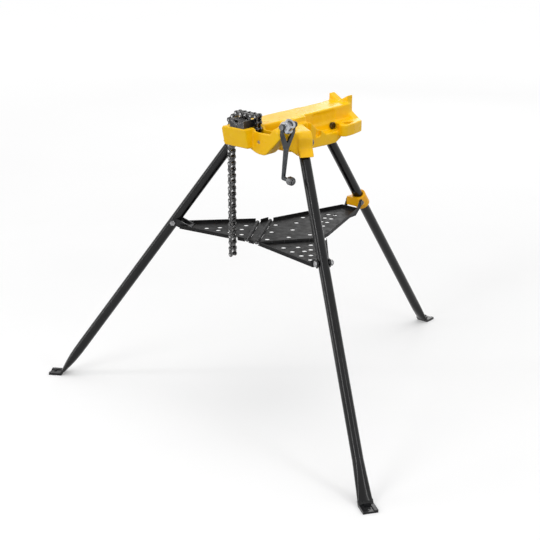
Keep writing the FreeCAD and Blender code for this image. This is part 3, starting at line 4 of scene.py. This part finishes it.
import bpy
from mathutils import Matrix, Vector

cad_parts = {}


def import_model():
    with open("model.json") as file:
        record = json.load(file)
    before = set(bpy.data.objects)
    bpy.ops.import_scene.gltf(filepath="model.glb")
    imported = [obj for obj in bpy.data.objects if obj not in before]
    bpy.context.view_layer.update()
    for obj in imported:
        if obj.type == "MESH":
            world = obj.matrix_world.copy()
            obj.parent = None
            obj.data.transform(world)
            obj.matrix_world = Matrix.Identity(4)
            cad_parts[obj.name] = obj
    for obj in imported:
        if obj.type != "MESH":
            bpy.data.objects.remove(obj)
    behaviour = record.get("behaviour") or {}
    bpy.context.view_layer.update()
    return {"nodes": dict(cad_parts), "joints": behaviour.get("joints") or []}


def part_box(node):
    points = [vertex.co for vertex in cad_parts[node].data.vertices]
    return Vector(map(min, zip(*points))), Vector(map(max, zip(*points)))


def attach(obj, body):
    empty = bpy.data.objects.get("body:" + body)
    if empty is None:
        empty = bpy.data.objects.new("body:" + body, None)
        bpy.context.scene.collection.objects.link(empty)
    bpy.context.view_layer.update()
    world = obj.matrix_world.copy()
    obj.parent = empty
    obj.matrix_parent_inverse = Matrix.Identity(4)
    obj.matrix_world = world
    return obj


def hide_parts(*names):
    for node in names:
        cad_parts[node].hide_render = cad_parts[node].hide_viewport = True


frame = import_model()
NODES = frame["nodes"]

THREAD_PITCH = 0.002     # the travel of the screw for one turn of the crank
THREAD_DEPTH = 0.0007
THREAD_SKIN = 0.0006     # only the outermost layer of the bar is cut
SOCKET_REACH = 0.09      # length of a leg's top end that lies in its socket
SOCKET_HALF = 0.05       # half size of the box around a socket's outer end
THIN_WALL_SHARE = 0.25   # share of the smoothing that thin walls get
SMOOTH_FACTOR = 0.5      # how far one pass moves a point to its neighbours' middle

FLOOR_HALF = 14.0
FLOOR_NEAR = 1.0         # out to here the floor keeps the object's shadow
FLOOR_FAR = 5.0          # from here on it is as white as the world behind it
GLOW_NEAR = 0.2
GLOW_FAR = 0.46
SKY_LEVEL = 0.75         # what the world lights the object with

CAMERA_PLACE = (1.9119, -2.3694, 1.3977)
CAMERA_TARGET = (0, -0.2192, 0.36007)
CAMERA_LENS = 78.9

STAND_MIDDLE = (0, -0.2, 0.5)
STAND_TOP = (0, 0, 0.6)
LAMPS = (  # name, place, target, width, height, watts
    ("key", (0.1, -3.3, 1.9), STAND_MIDDLE, 0.3, 2.6, 28),
    ("left", (-2.2, -2.4, 1.5), STAND_MIDDLE, 0.22, 2.6, 16),
    ("top", (0.2, 0.2, 3.2), STAND_TOP, 2.0, 2.0, 19),
    ("right", (3.4, -0.4, 1.5), STAND_MIDDLE, 0.4, 2.4, 20),
    ("back", (-1.8, 2.8, 1.9), STAND_TOP, 0.8, 1.6, 9),
)


# ---------------------------------------------------------------- materials

class Nodes:
    """Short ways to add and link the nodes of one material."""

    def __init__(self, name):
        self.material = bpy.data.materials.new(name)
        self.material.use_nodes = True
        self.tree = self.material.node_tree
        self.shader = self.tree.nodes["Principled BSDF"]
        self.place = self.add("ShaderNodeTexCoord").outputs["Object"]

    def add(self, kind, **settings):
        node = self.tree.nodes.new(kind)
        for key, value in settings.items():
            setattr(node, key, value)
        return node

    def link(self, output, target):
        self.tree.links.new(output, target)

    def noise(self, scale, detail=3.0, rough=0.55):
        node = self.add("ShaderNodeTexNoise")
        node.inputs["Scale"].default_value = scale
        node.inputs["Detail"].default_value = detail
        node.inputs["Roughness"].default_value = rough
        self.link(self.place, node.inputs["Vector"])
        return node.outputs["Fac"]

    def ramp(self, factor, low, high, out_low=0.0, out_high=1.0):
        """A value from out_low to out_high as the factor goes from low to high."""
        node = self.add("ShaderNodeMapRange")
        self.link(factor, node.inputs["Value"])
        limits = {"From Min": low, "From Max": high, "To Min": out_low, "To Max": out_high}
        for key, value in limits.items():
            node.inputs[key].default_value = value
        return node.outputs["Result"]

    def math(self, operation, first, second):
        node = self.add("ShaderNodeMath", operation=operation)
        for target, value in zip(node.inputs, (first, second)):
            if isinstance(value, (int, float)):
                target.default_value = value
            else:
                self.link(value, target)
        return node.outputs[0]

    def mix(self, factor, first, second):
        """A colour between two; each is a colour or an output."""
        node = self.add("ShaderNodeMix", data_type="RGBA")
        self.link(factor, node.inputs["Factor"])
        for target, value in ((node.inputs["A"], first), (node.inputs["B"], second)):
            if isinstance(value, tuple):
                target.default_value = (*value, 1.0)
            else:
                self.link(value, target)
        return node.outputs["Result"]

    def edges(self, radius):
        """1 on outer edges that are worn, 0 on flats."""
        soft = self.add("ShaderNodeBevel", samples=4)
        soft.inputs["Radius"].default_value = radius
        true = self.add("ShaderNodeNewGeometry").outputs["Normal"]
        dot = self.add("ShaderNodeVectorMath", operation="DOT_PRODUCT")
        self.link(soft.outputs["Normal"], dot.inputs[0])
        self.link(true, dot.inputs[1])
        return self.ramp(self.math("SUBTRACT", 1.0, dot.outputs["Value"]), 0.02, 0.12)

    def bump(self, height, strength, distance, round_edges=0.0):
        node = self.add("ShaderNodeBump")
        node.inputs["Strength"].default_value = strength
        node.inputs["Distance"].default_value = distance
        self.link(height, node.inputs["Height"])
        if round_edges:
            soft = self.add("ShaderNodeBevel", samples=6)
            soft.inputs["Radius"].default_value = round_edges
            self.link(soft.outputs["Normal"], node.inputs["Normal"])
        self.link(node.outputs["Normal"], self.shader.inputs["Normal"])

    def set(self, **values):
        for key, value in values.items():
            self.shader.inputs[key.replace("_", " ")].default_value = value


def cast_paint(name, colour, shade):
    """Thick gloss paint over a sand casting, uneven, its tone drifting between two yellows."""
    n = Nodes(name)
    tone = n.ramp(n.noise(14, 4), 0.35, 0.7)
    n.link(n.mix(tone, colour, shade), n.shader.inputs["Base Color"])
    n.link(n.ramp(n.noise(60, 3), 0.3, 0.7, 0.24, 0.4), n.shader.inputs["Roughness"])
    grain = n.math("ADD", n.noise(260, 3), n.math("MULTIPLY", n.noise(55, 2), 1.6))
    n.bump(grain, 0.32, 0.0012)
    n.set(Specular_IOR_Level=0.2, Coat_Weight=0.08, Coat_Roughness=0.15)
    return n.material


def tube_paint(name, colour, rough):
    """Baked black paint with a fine peel, dulled in patches and thin on its edges."""
    n = Nodes(name)
    tone = n.ramp(n.noise(22, 5), 0.4, 0.75)
    painted = n.mix(tone, colour, tuple(c * 1.7 + 0.004 for c in colour))
    worn = (0.08, 0.08, 0.085)
    scratches = n.ramp(n.noise(170, 5, 0.7), 0.62, 0.7)
    scuffs = n.math("MULTIPLY", scratches, n.ramp(n.noise(8, 3), 0.5, 0.7))
    thin = n.math("MULTIPLY", n.edges(0.0012), n.ramp(n.noise(90, 4), 0.42, 0.62))
    n.link(n.mix(n.math("MAXIMUM", scuffs, thin), painted, worn), n.shader.inputs["Base Color"])
    n.link(n.ramp(n.noise(40, 4), 0.3, 0.7, rough - 0.06, rough + 0.1), n.shader.inputs["Roughness"])
    n.bump(n.noise(150, 2), 0.06, 0.0003, 0.0008)
    n.set(Specular_IOR_Level=0.24, Coat_Weight=0.1, Coat_Roughness=0.05)
    return n.material


def powder_paint(name, colour):
    """Dark textured coat of the tray, with patches of dust and thin paint on its edges."""
    n = Nodes(name)
    dust = n.math("MULTIPLY", n.ramp(n.noise(11, 6, 0.65), 0.42, 0.72), 0.35)
    painted = n.mix(dust, colour, (0.035, 0.034, 0.033))
    thin = n.math("MULTIPLY", n.edges(0.001), n.ramp(n.noise(120, 4), 0.45, 0.6))
    n.link(n.mix(thin, painted, (0.11, 0.11, 0.113)), n.shader.inputs["Base Color"])
    n.link(n.ramp(n.noise(70, 4), 0.3, 0.7, 0.38, 0.58), n.shader.inputs["Roughness"])
    n.bump(n.noise(900, 2), 0.25, 0.0004, 0.0006)
    n.set(Specular_IOR_Level=0.12)
    return n.material


def steel(name, colour, rough, dark, mottle=30, wear=0.0, round_edges=0.0005):
    """Bare or oiled steel: mottled tone, darker film in patches, bright edges if worn."""
    n = Nodes(name)
    film = n.ramp(n.noise(mottle, 5, 0.6), 0.35, 0.65)
    base = n.mix(film, colour, dark)
    if wear:
        bright = n.math("MULTIPLY", n.edges(0.001), wear)
        base = n.mix(bright, base, (0.62, 0.61, 0.6))
    n.link(base, n.shader.inputs["Base Color"])
    sheen = n.ramp(n.noise(mottle * 4, 4), 0.3, 0.7, rough - 0.08, rough + 0.14)
    n.link(sheen, n.shader.inputs["Roughness"])
    n.bump(n.noise(mottle * 14, 3), 0.18, 0.0004, round_edges)
    n.set(Metallic=1.0)
    return n.material


def turned_steel(name, colour, rough, across):
    """Steel with the fine rings that turning leaves, across one axis of the row frame."""
    n = Nodes(name)
    wave = n.add("ShaderNodeTexWave", wave_type="BANDS", bands_direction="X")
    wave.inputs["Scale"].default_value = 260
    wave.inputs["Distortion"].default_value = 0.6
    turn = n.add("ShaderNodeMapping")
    turn.inputs["Rotation"].default_value = across
    n.link(n.place, turn.inputs["Vector"])
    n.link(turn.outputs["Vector"], wave.inputs["Vector"])
    tone = n.ramp(n.noise(45, 4), 0.35, 0.7)
    n.link(n.mix(tone, colour, tuple(c * 0.6 for c in colour)), n.shader.inputs["Base Color"])
    n.link(n.ramp(n.noise(160, 3), 0.3, 0.7, rough - 0.05, rough + 0.12), n.shader.inputs["Roughness"])
    n.bump(wave.outputs["Fac"], 0.1, 0.0003, 0.0005)
    n.set(Metallic=1.0)
    return n.material


YELLOW = cast_paint("casting_yellow", (1.0, 0.6, 0.002), (0.95, 0.51, 0.002))
COLLAR = cast_paint("collar_yellow", (0.98, 0.48, 0.002), (0.86, 0.38, 0.002))
BLACK = tube_paint("leg_black", (0.003, 0.003, 0.0035), 0.15)
TRAY = powder_paint("tray_black", (0.008, 0.008, 0.0085))
BRACKET = tube_paint("bracket_black", (0.008, 0.008, 0.009), 0.4)
CHAIN = steel("chain_steel", (0.12, 0.12, 0.12), 0.26, (0.018, 0.018, 0.019), 60, 0.75)
CHAIN_PIN = steel("chain_pin_steel", (0.58, 0.58, 0.58), 0.22, (0.08, 0.08, 0.08), 80, 0.4)
JAW = steel("jaw_steel", (0.075, 0.075, 0.078), 0.4, (0.025, 0.025, 0.026), 45, 0.7)
CRANK = steel("crank_steel", (0.085, 0.09, 0.095), 0.32, (0.04, 0.043, 0.046), 35, 0.35, 0.001)
GRIP = steel("grip_steel", (0.2, 0.205, 0.21), 0.3, (0.06, 0.06, 0.064), 40, 0.4)
ZINC = turned_steel("zinc_plate", (0.56, 0.575, 0.6), 0.2, (0, math.radians(45), 0))
BOLT = steel("bolt_steel", (0.42, 0.42, 0.43), 0.28, (0.16, 0.16, 0.165), 50, 0.2)
DARK_BOLT = steel("dark_bolt_steel", (0.12, 0.12, 0.125), 0.36, (0.05, 0.05, 0.052), 50, 0.5)
SCREW = turned_steel("screw_steel", (0.32, 0.32, 0.33), 0.34, (0, math.radians(45), 0))


def material_for(name):
    """The material of a CAD node, by its name."""
    rules = (("base_casting", YELLOW), ("rear_collar", COLLAR), ("jaw_insert", JAW), ("leg_", BLACK),
             ("tray_pivot_pins", DARK_BOLT), ("tray_rear_fork", BRACKET), ("tray_", TRAY),
             ("wing_fork", BRACKET), ("wing_bolt", BOLT), ("hinge_pin", DARK_BOLT),
             ("crank_nut", ZINC), ("thrust_washer", ZINC),
             ("draw_screw", SCREW), ("crank_grip", GRIP), ("crank_pins", GRIP), ("crank_", CRANK),
             ("grip_stud", GRIP), ("take_up_pin", CHAIN_PIN), ("take_up", CHAIN), ("chain_guide", BOLT))
    if name.startswith("chain_") and name.endswith("_pins"):
        return CHAIN_PIN
    for start, found in rules:
        if name.startswith(start):
            return found
    return CHAIN if name.startswith("chain_") else DARK_BOLT


def paint(obj, material):
    for slot in obj.material_slots:
        slot.link = "OBJECT"
        slot.material = material


for node_name, node in NODES.items():
    paint(node, material_for(node_name))


# ---------------------------------------------------------------- pieces

def inside(point, boxes):
    return any(all(low[i] <= point[i] <= high[i] for i in range(3)) for low, high in boxes)


def smoothed(obj, passes, weight):
    """Smooths a piece by a number of passes; weight gives each point's share of them."""
    hold = obj.vertex_groups.new(name="soft")
    for vertex in obj.data.vertices:
        hold.add([vertex.index], weight(vertex.co), "REPLACE")
    smooth = obj.modifiers.new("Smooth", "SMOOTH")
    smooth.factor = SMOOTH_FACTOR
    smooth.iterations = passes
    smooth.vertex_group = "soft"
    applied(obj)
    obj.vertex_groups.clear()


def softened(node, name, body, voxel, passes, gentle=(), rounder=(), more=0):
    """A cast or forged node remeshed fine and smoothed, so that its edges and corners are round.

    Thin walls in the gentle boxes keep their shape; the rounder boxes get more passes."""
    obj = copied(NODES[node], name, material_for(node))
    remesh = obj.modifiers.new("Remesh", "REMESH")
    remesh.mode = "VOXEL"
    remesh.voxel_size = voxel
    applied(obj)
    smoothed(obj, passes, lambda point: THIN_WALL_SHARE if inside(point, gentle) else 1.0)
    if rounder:
        smoothed(obj, more, lambda point: 1.0 if inside(point, rounder) else 0.0)
    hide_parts(node)
    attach(obj, body)
    return obj


def copied(source, name, material):
    """A new object with a copy of a CAD node's mesh."""
    mesh = source.data.copy()
    mesh.name = name
    obj = bpy.data.objects.new(name, mesh)
    bpy.context.scene.collection.objects.link(obj)
    mesh.materials.clear()
    mesh.materials.append(material)
    return obj


def applied(obj):
    """Applies the object's modifiers."""
    graph = bpy.context.evaluated_depsgraph_get()
    mesh = bpy.data.meshes.new_from_object(obj.evaluated_get(graph))
    obj.modifiers.clear()
    obj.data = mesh
    for polygon in mesh.polygons:
        polygon.use_smooth = True


def around(node, grow):
    """The box of a node, grown a little."""
    low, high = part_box(node)
    return [c - grow for c in low], [c + grow for c in high]


def hood_boxes():
    """The outer ends of the three leg sockets, which are round in the casting."""
    boxes = []
    for leg in ("leg_right", "leg_left", "leg_rear"):
        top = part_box(leg)[1].z
        ends = [v.co for v in NODES[leg].data.vertices if v.co.z > top - SOCKET_REACH]
        middle = sum(ends, Vector()) / len(ends)
        boxes.append(([c - SOCKET_HALF for c in middle], [c + SOCKET_HALF for c in middle]))
    return boxes


def threaded_screw():
    """The draw screw with its thread: the round bar's surface is drawn in along a helix."""
    obj = softened("draw_screw", "screw_threaded", "screw", voxel=0.0005, passes=2)
    joints = {joint["name"]: joint for joint in frame["joints"]}
    along = Vector(joints["screw_draw"]["axis"]).normalized()
    start = Vector(joints["crank_turn"]["pos_m"])
    bar = max((v.co - start - along * (v.co - start).dot(along)).length for v in obj.data.vertices)
    side = along.orthogonal().normalized()
    other = along.cross(side)
    for vertex in obj.data.vertices:
        offset = vertex.co - start
        far = offset.dot(along)
        out = offset - along * far
        if out.length > bar - THREAD_SKIN:
            turn = math.atan2(out.dot(other), out.dot(side)) / math.tau
            phase = (far / THREAD_PITCH - turn) % 1.0
            vertex.co -= out.normalized() * THREAD_DEPTH * abs(2 * phase - 1)


threaded_screw()
trough_walls = around("take_up_link_inner", 0.02)
slot_walls = around("chain_tail_plates", 0.012)
softened("base_casting", "head_casting", "head", voxel=0.0017, passes=12,
         gentle=[trough_walls, slot_walls], rounder=hood_boxes(), more=40)
softened("rear_collar", "collar_casting", "leg_rear", voxel=0.0009, passes=10)
softened("crank_handle", "crank_forging", "crank_arm", voxel=0.0008, passes=12)


# ---------------------------------------------------------------- stage

def floor():
    """Near white for the camera and for mirrors, darker for what it lights."""
    n = Nodes("floor_white")
    seen = n.add("ShaderNodeMixShader")
    out = n.tree.nodes["Material Output"]
    glow = n.add("ShaderNodeAddShader")
    shine = n.add("ShaderNodeEmission")
    away = n.add("ShaderNodeVectorMath", operation="LENGTH")
    n.link(n.place, away.inputs[0])
    glow_level = n.ramp(away.outputs["Value"], FLOOR_NEAR, FLOOR_FAR, GLOW_NEAR, GLOW_FAR)
    n.link(glow_level, shine.inputs["Strength"])
    white = n.add("ShaderNodeBsdfDiffuse")
    drift = n.ramp(n.noise(2), 0.2, 0.8)
    n.link(n.mix(drift, (0.76, 0.76, 0.76), (0.74, 0.74, 0.74)), white.inputs["Color"])
    grey = n.add("ShaderNodeBsdfDiffuse")
    grey.inputs["Color"].default_value = (0.3, 0.3, 0.3, 1)
    n.link(shine.outputs[0], glow.inputs[0])
    n.link(white.outputs[0], glow.inputs[1])
    path = n.add("ShaderNodeLightPath").outputs
    straight = n.math("MAXIMUM", path["Is Camera Ray"], path["Is Transmission Ray"])
    n.link(n.math("MAXIMUM", straight, path["Is Glossy Ray"]), seen.inputs["Fac"])
    n.link(grey.outputs[0], seen.inputs[1])
    n.link(glow.outputs[0], seen.inputs[2])
    n.link(seen.outputs[0], out.inputs["Surface"])
    mesh = bpy.data.meshes.new("floor")
    corners = [(x * FLOOR_HALF, y * FLOOR_HALF, 0) for x, y in ((-1, -1), (1, -1), (1, 1), (-1, 1))]
    mesh.from_pydata(corners, [], [(0, 1, 2, 3)])
    obj = bpy.data.objects.new("floor", mesh)
    bpy.context.scene.collection.objects.link(obj)
    mesh.materials.append(n.material)


def area_light(name, place, target, width, height, power):
    data = bpy.data.lights.new(name, "AREA")
    data.shape = "RECTANGLE"
    data.size = width
    data.size_y = height
    data.energy = power
    obj = bpy.data.objects.new(name, data)
    obj.location = place
    way = Vector(target) - Vector(place)
    obj.rotation_euler = way.to_track_quat("-Z", "Y").to_euler()
    bpy.context.scene.collection.objects.link(obj)


def world():
    """White for the camera, for mirrors and for glass, softer for what lights the object."""
    data = bpy.data.worlds.new("studio")
    bpy.context.scene.world = data
    data.use_nodes = True
    tree = data.node_tree
    tree.nodes.clear()
    out = tree.nodes.new("ShaderNodeOutputWorld")
    seen = tree.nodes.new("ShaderNodeBackground")
    seen.inputs["Strength"].default_value = 1.0
    seen.inputs["Color"].default_value = (1, 1, 1, 1)
    lit = tree.nodes.new("ShaderNodeBackground")
    path = tree.nodes.new("ShaderNodeLightPath")
    ramp = tree.nodes.new("ShaderNodeValToRGB")
    place = tree.nodes.new("ShaderNodeTexCoord")
    split = tree.nodes.new("ShaderNodeSeparateXYZ")
    tree.links.new(place.outputs["Generated"], split.inputs[0])
    tree.links.new(split.outputs["Z"], ramp.inputs["Fac"])
    ramp.color_ramp.elements[0].position = 0.0
    ramp.color_ramp.elements[0].color = (0.55, 0.55, 0.56, 1)
    ramp.color_ramp.elements[1].position = 0.6
    ramp.color_ramp.elements[1].color = (1, 1, 1, 1)
    tree.links.new(ramp.outputs["Color"], lit.inputs["Color"])
    lit.inputs["Strength"].default_value = SKY_LEVEL
    mix = tree.nodes.new("ShaderNodeMixShader")
    sees = path.outputs["Is Camera Ray"]
    for ray in ("Is Glossy Ray", "Is Transmission Ray"):
        either = tree.nodes.new("ShaderNodeMath")
        either.operation = "MAXIMUM"
        tree.links.new(sees, either.inputs[0])
        tree.links.new(path.outputs[ray], either.inputs[1])
        sees = either.outputs[0]
    tree.links.new(sees, mix.inputs["Fac"])
    tree.links.new(lit.outputs["Background"], mix.inputs[1])
    tree.links.new(seen.outputs["Background"], mix.inputs[2])
    tree.links.new(mix.outputs["Shader"], out.inputs["Surface"])


def camera():
    data = bpy.data.cameras.new("camera")
    data.sensor_width = 36
    data.lens = CAMERA_LENS
    data.clip_end = 60
    obj = bpy.data.objects.new("camera", data)
    obj.location = CAMERA_PLACE
    way = Vector(CAMERA_TARGET) - obj.location
    obj.rotation_euler = way.to_track_quat("-Z", "Y").to_euler()
    bpy.context.scene.collection.objects.link(obj)
    bpy.context.scene.camera = obj


floor()
world()
for lamp in LAMPS:
    area_light(*lamp)
camera()
bpy.context.scene.view_settings.view_transform = "Standard"
